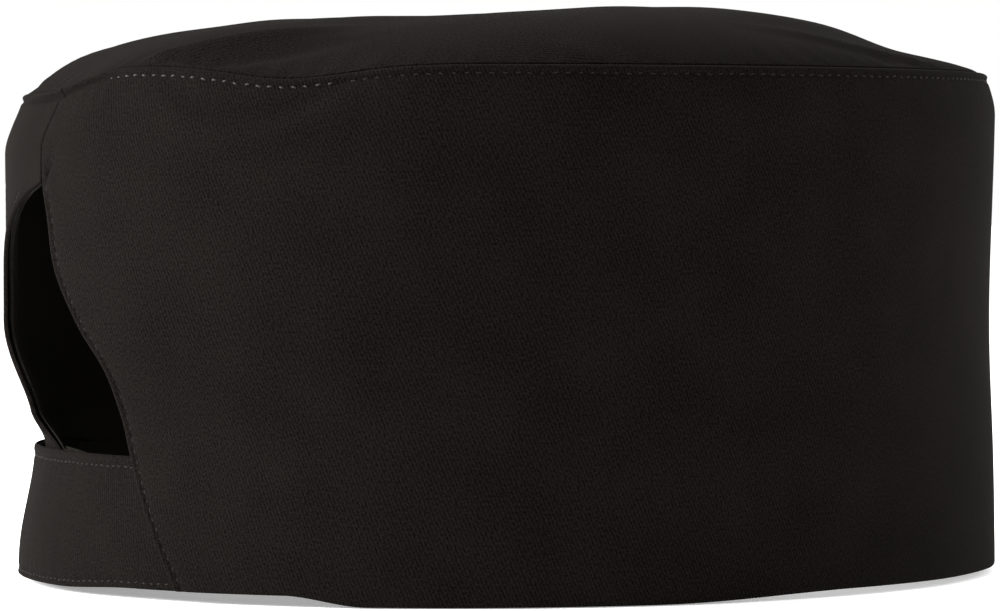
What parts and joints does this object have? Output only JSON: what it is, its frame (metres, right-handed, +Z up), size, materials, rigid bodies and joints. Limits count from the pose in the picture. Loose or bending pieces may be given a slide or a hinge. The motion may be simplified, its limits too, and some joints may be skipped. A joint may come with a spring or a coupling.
{
  "type": "cook's skull cap",
  "caption": "Low black cook's cap (pillbox skull cap) of twill with a lined band, pillowed crown, half-moon back gap and hook-and-loop strap.",
  "frame": {"origin": "bottom centre of the bounding box, on the surface that the hem stands on", "axes": "+Z up, -Y towards the front (forehead), +Y towards the strap at the back, -X towards the wearer's right"},
  "size_m": [0.173, 0.2018, 0.1115],
  "materials": {
    "black_twill": "matt 65/35 polyester-cotton twill, warm black",
    "interlining": "stiff woven interlining",
    "seam_tape": "plain cotton binding",
    "terry": "black cotton terry",
    "hook_tape": "nylon hook tape",
    "loop_tape": "napped nylon loop tape",
    "thread": "black polyester sewing thread, slightly glossy",
    "label_satin": "white woven satin, blank"
  },
  "bodies": {
    "cap": {"side_band": "black_twill", "band_interlining": "interlining", "band_lining": "black_twill", "crown_panel": "black_twill", "crown_seam_tape": "seam_tape", "sweatband": "terry", "strap_root": "black_twill", "loop_tape": "loop_tape", "gap_bar_tack": "thread"},
    "strap": {"strap_outer": "black_twill", "strap_backing": "black_twill", "hook_tape": "hook_tape"},
    "labels": {"care_label": "label_satin", "size_label": "label_satin"}
  },
  "joints": [
    {"name": "strap_peel", "type": "hinge", "parent": "cap", "child": "strap", "pos_m": [-0.03279, 0.09091, 0.001], "axis": [0.5125, 0.0287, 0.8582], "range_deg": [0, 90]},
    {"name": "label_flap", "type": "hinge", "parent": "cap", "child": "labels", "pos_m": [0.07946, 0.00006, 0.093], "axis": [-0.0072, 1, 0], "range_deg": [0, 75]}
  ]
}
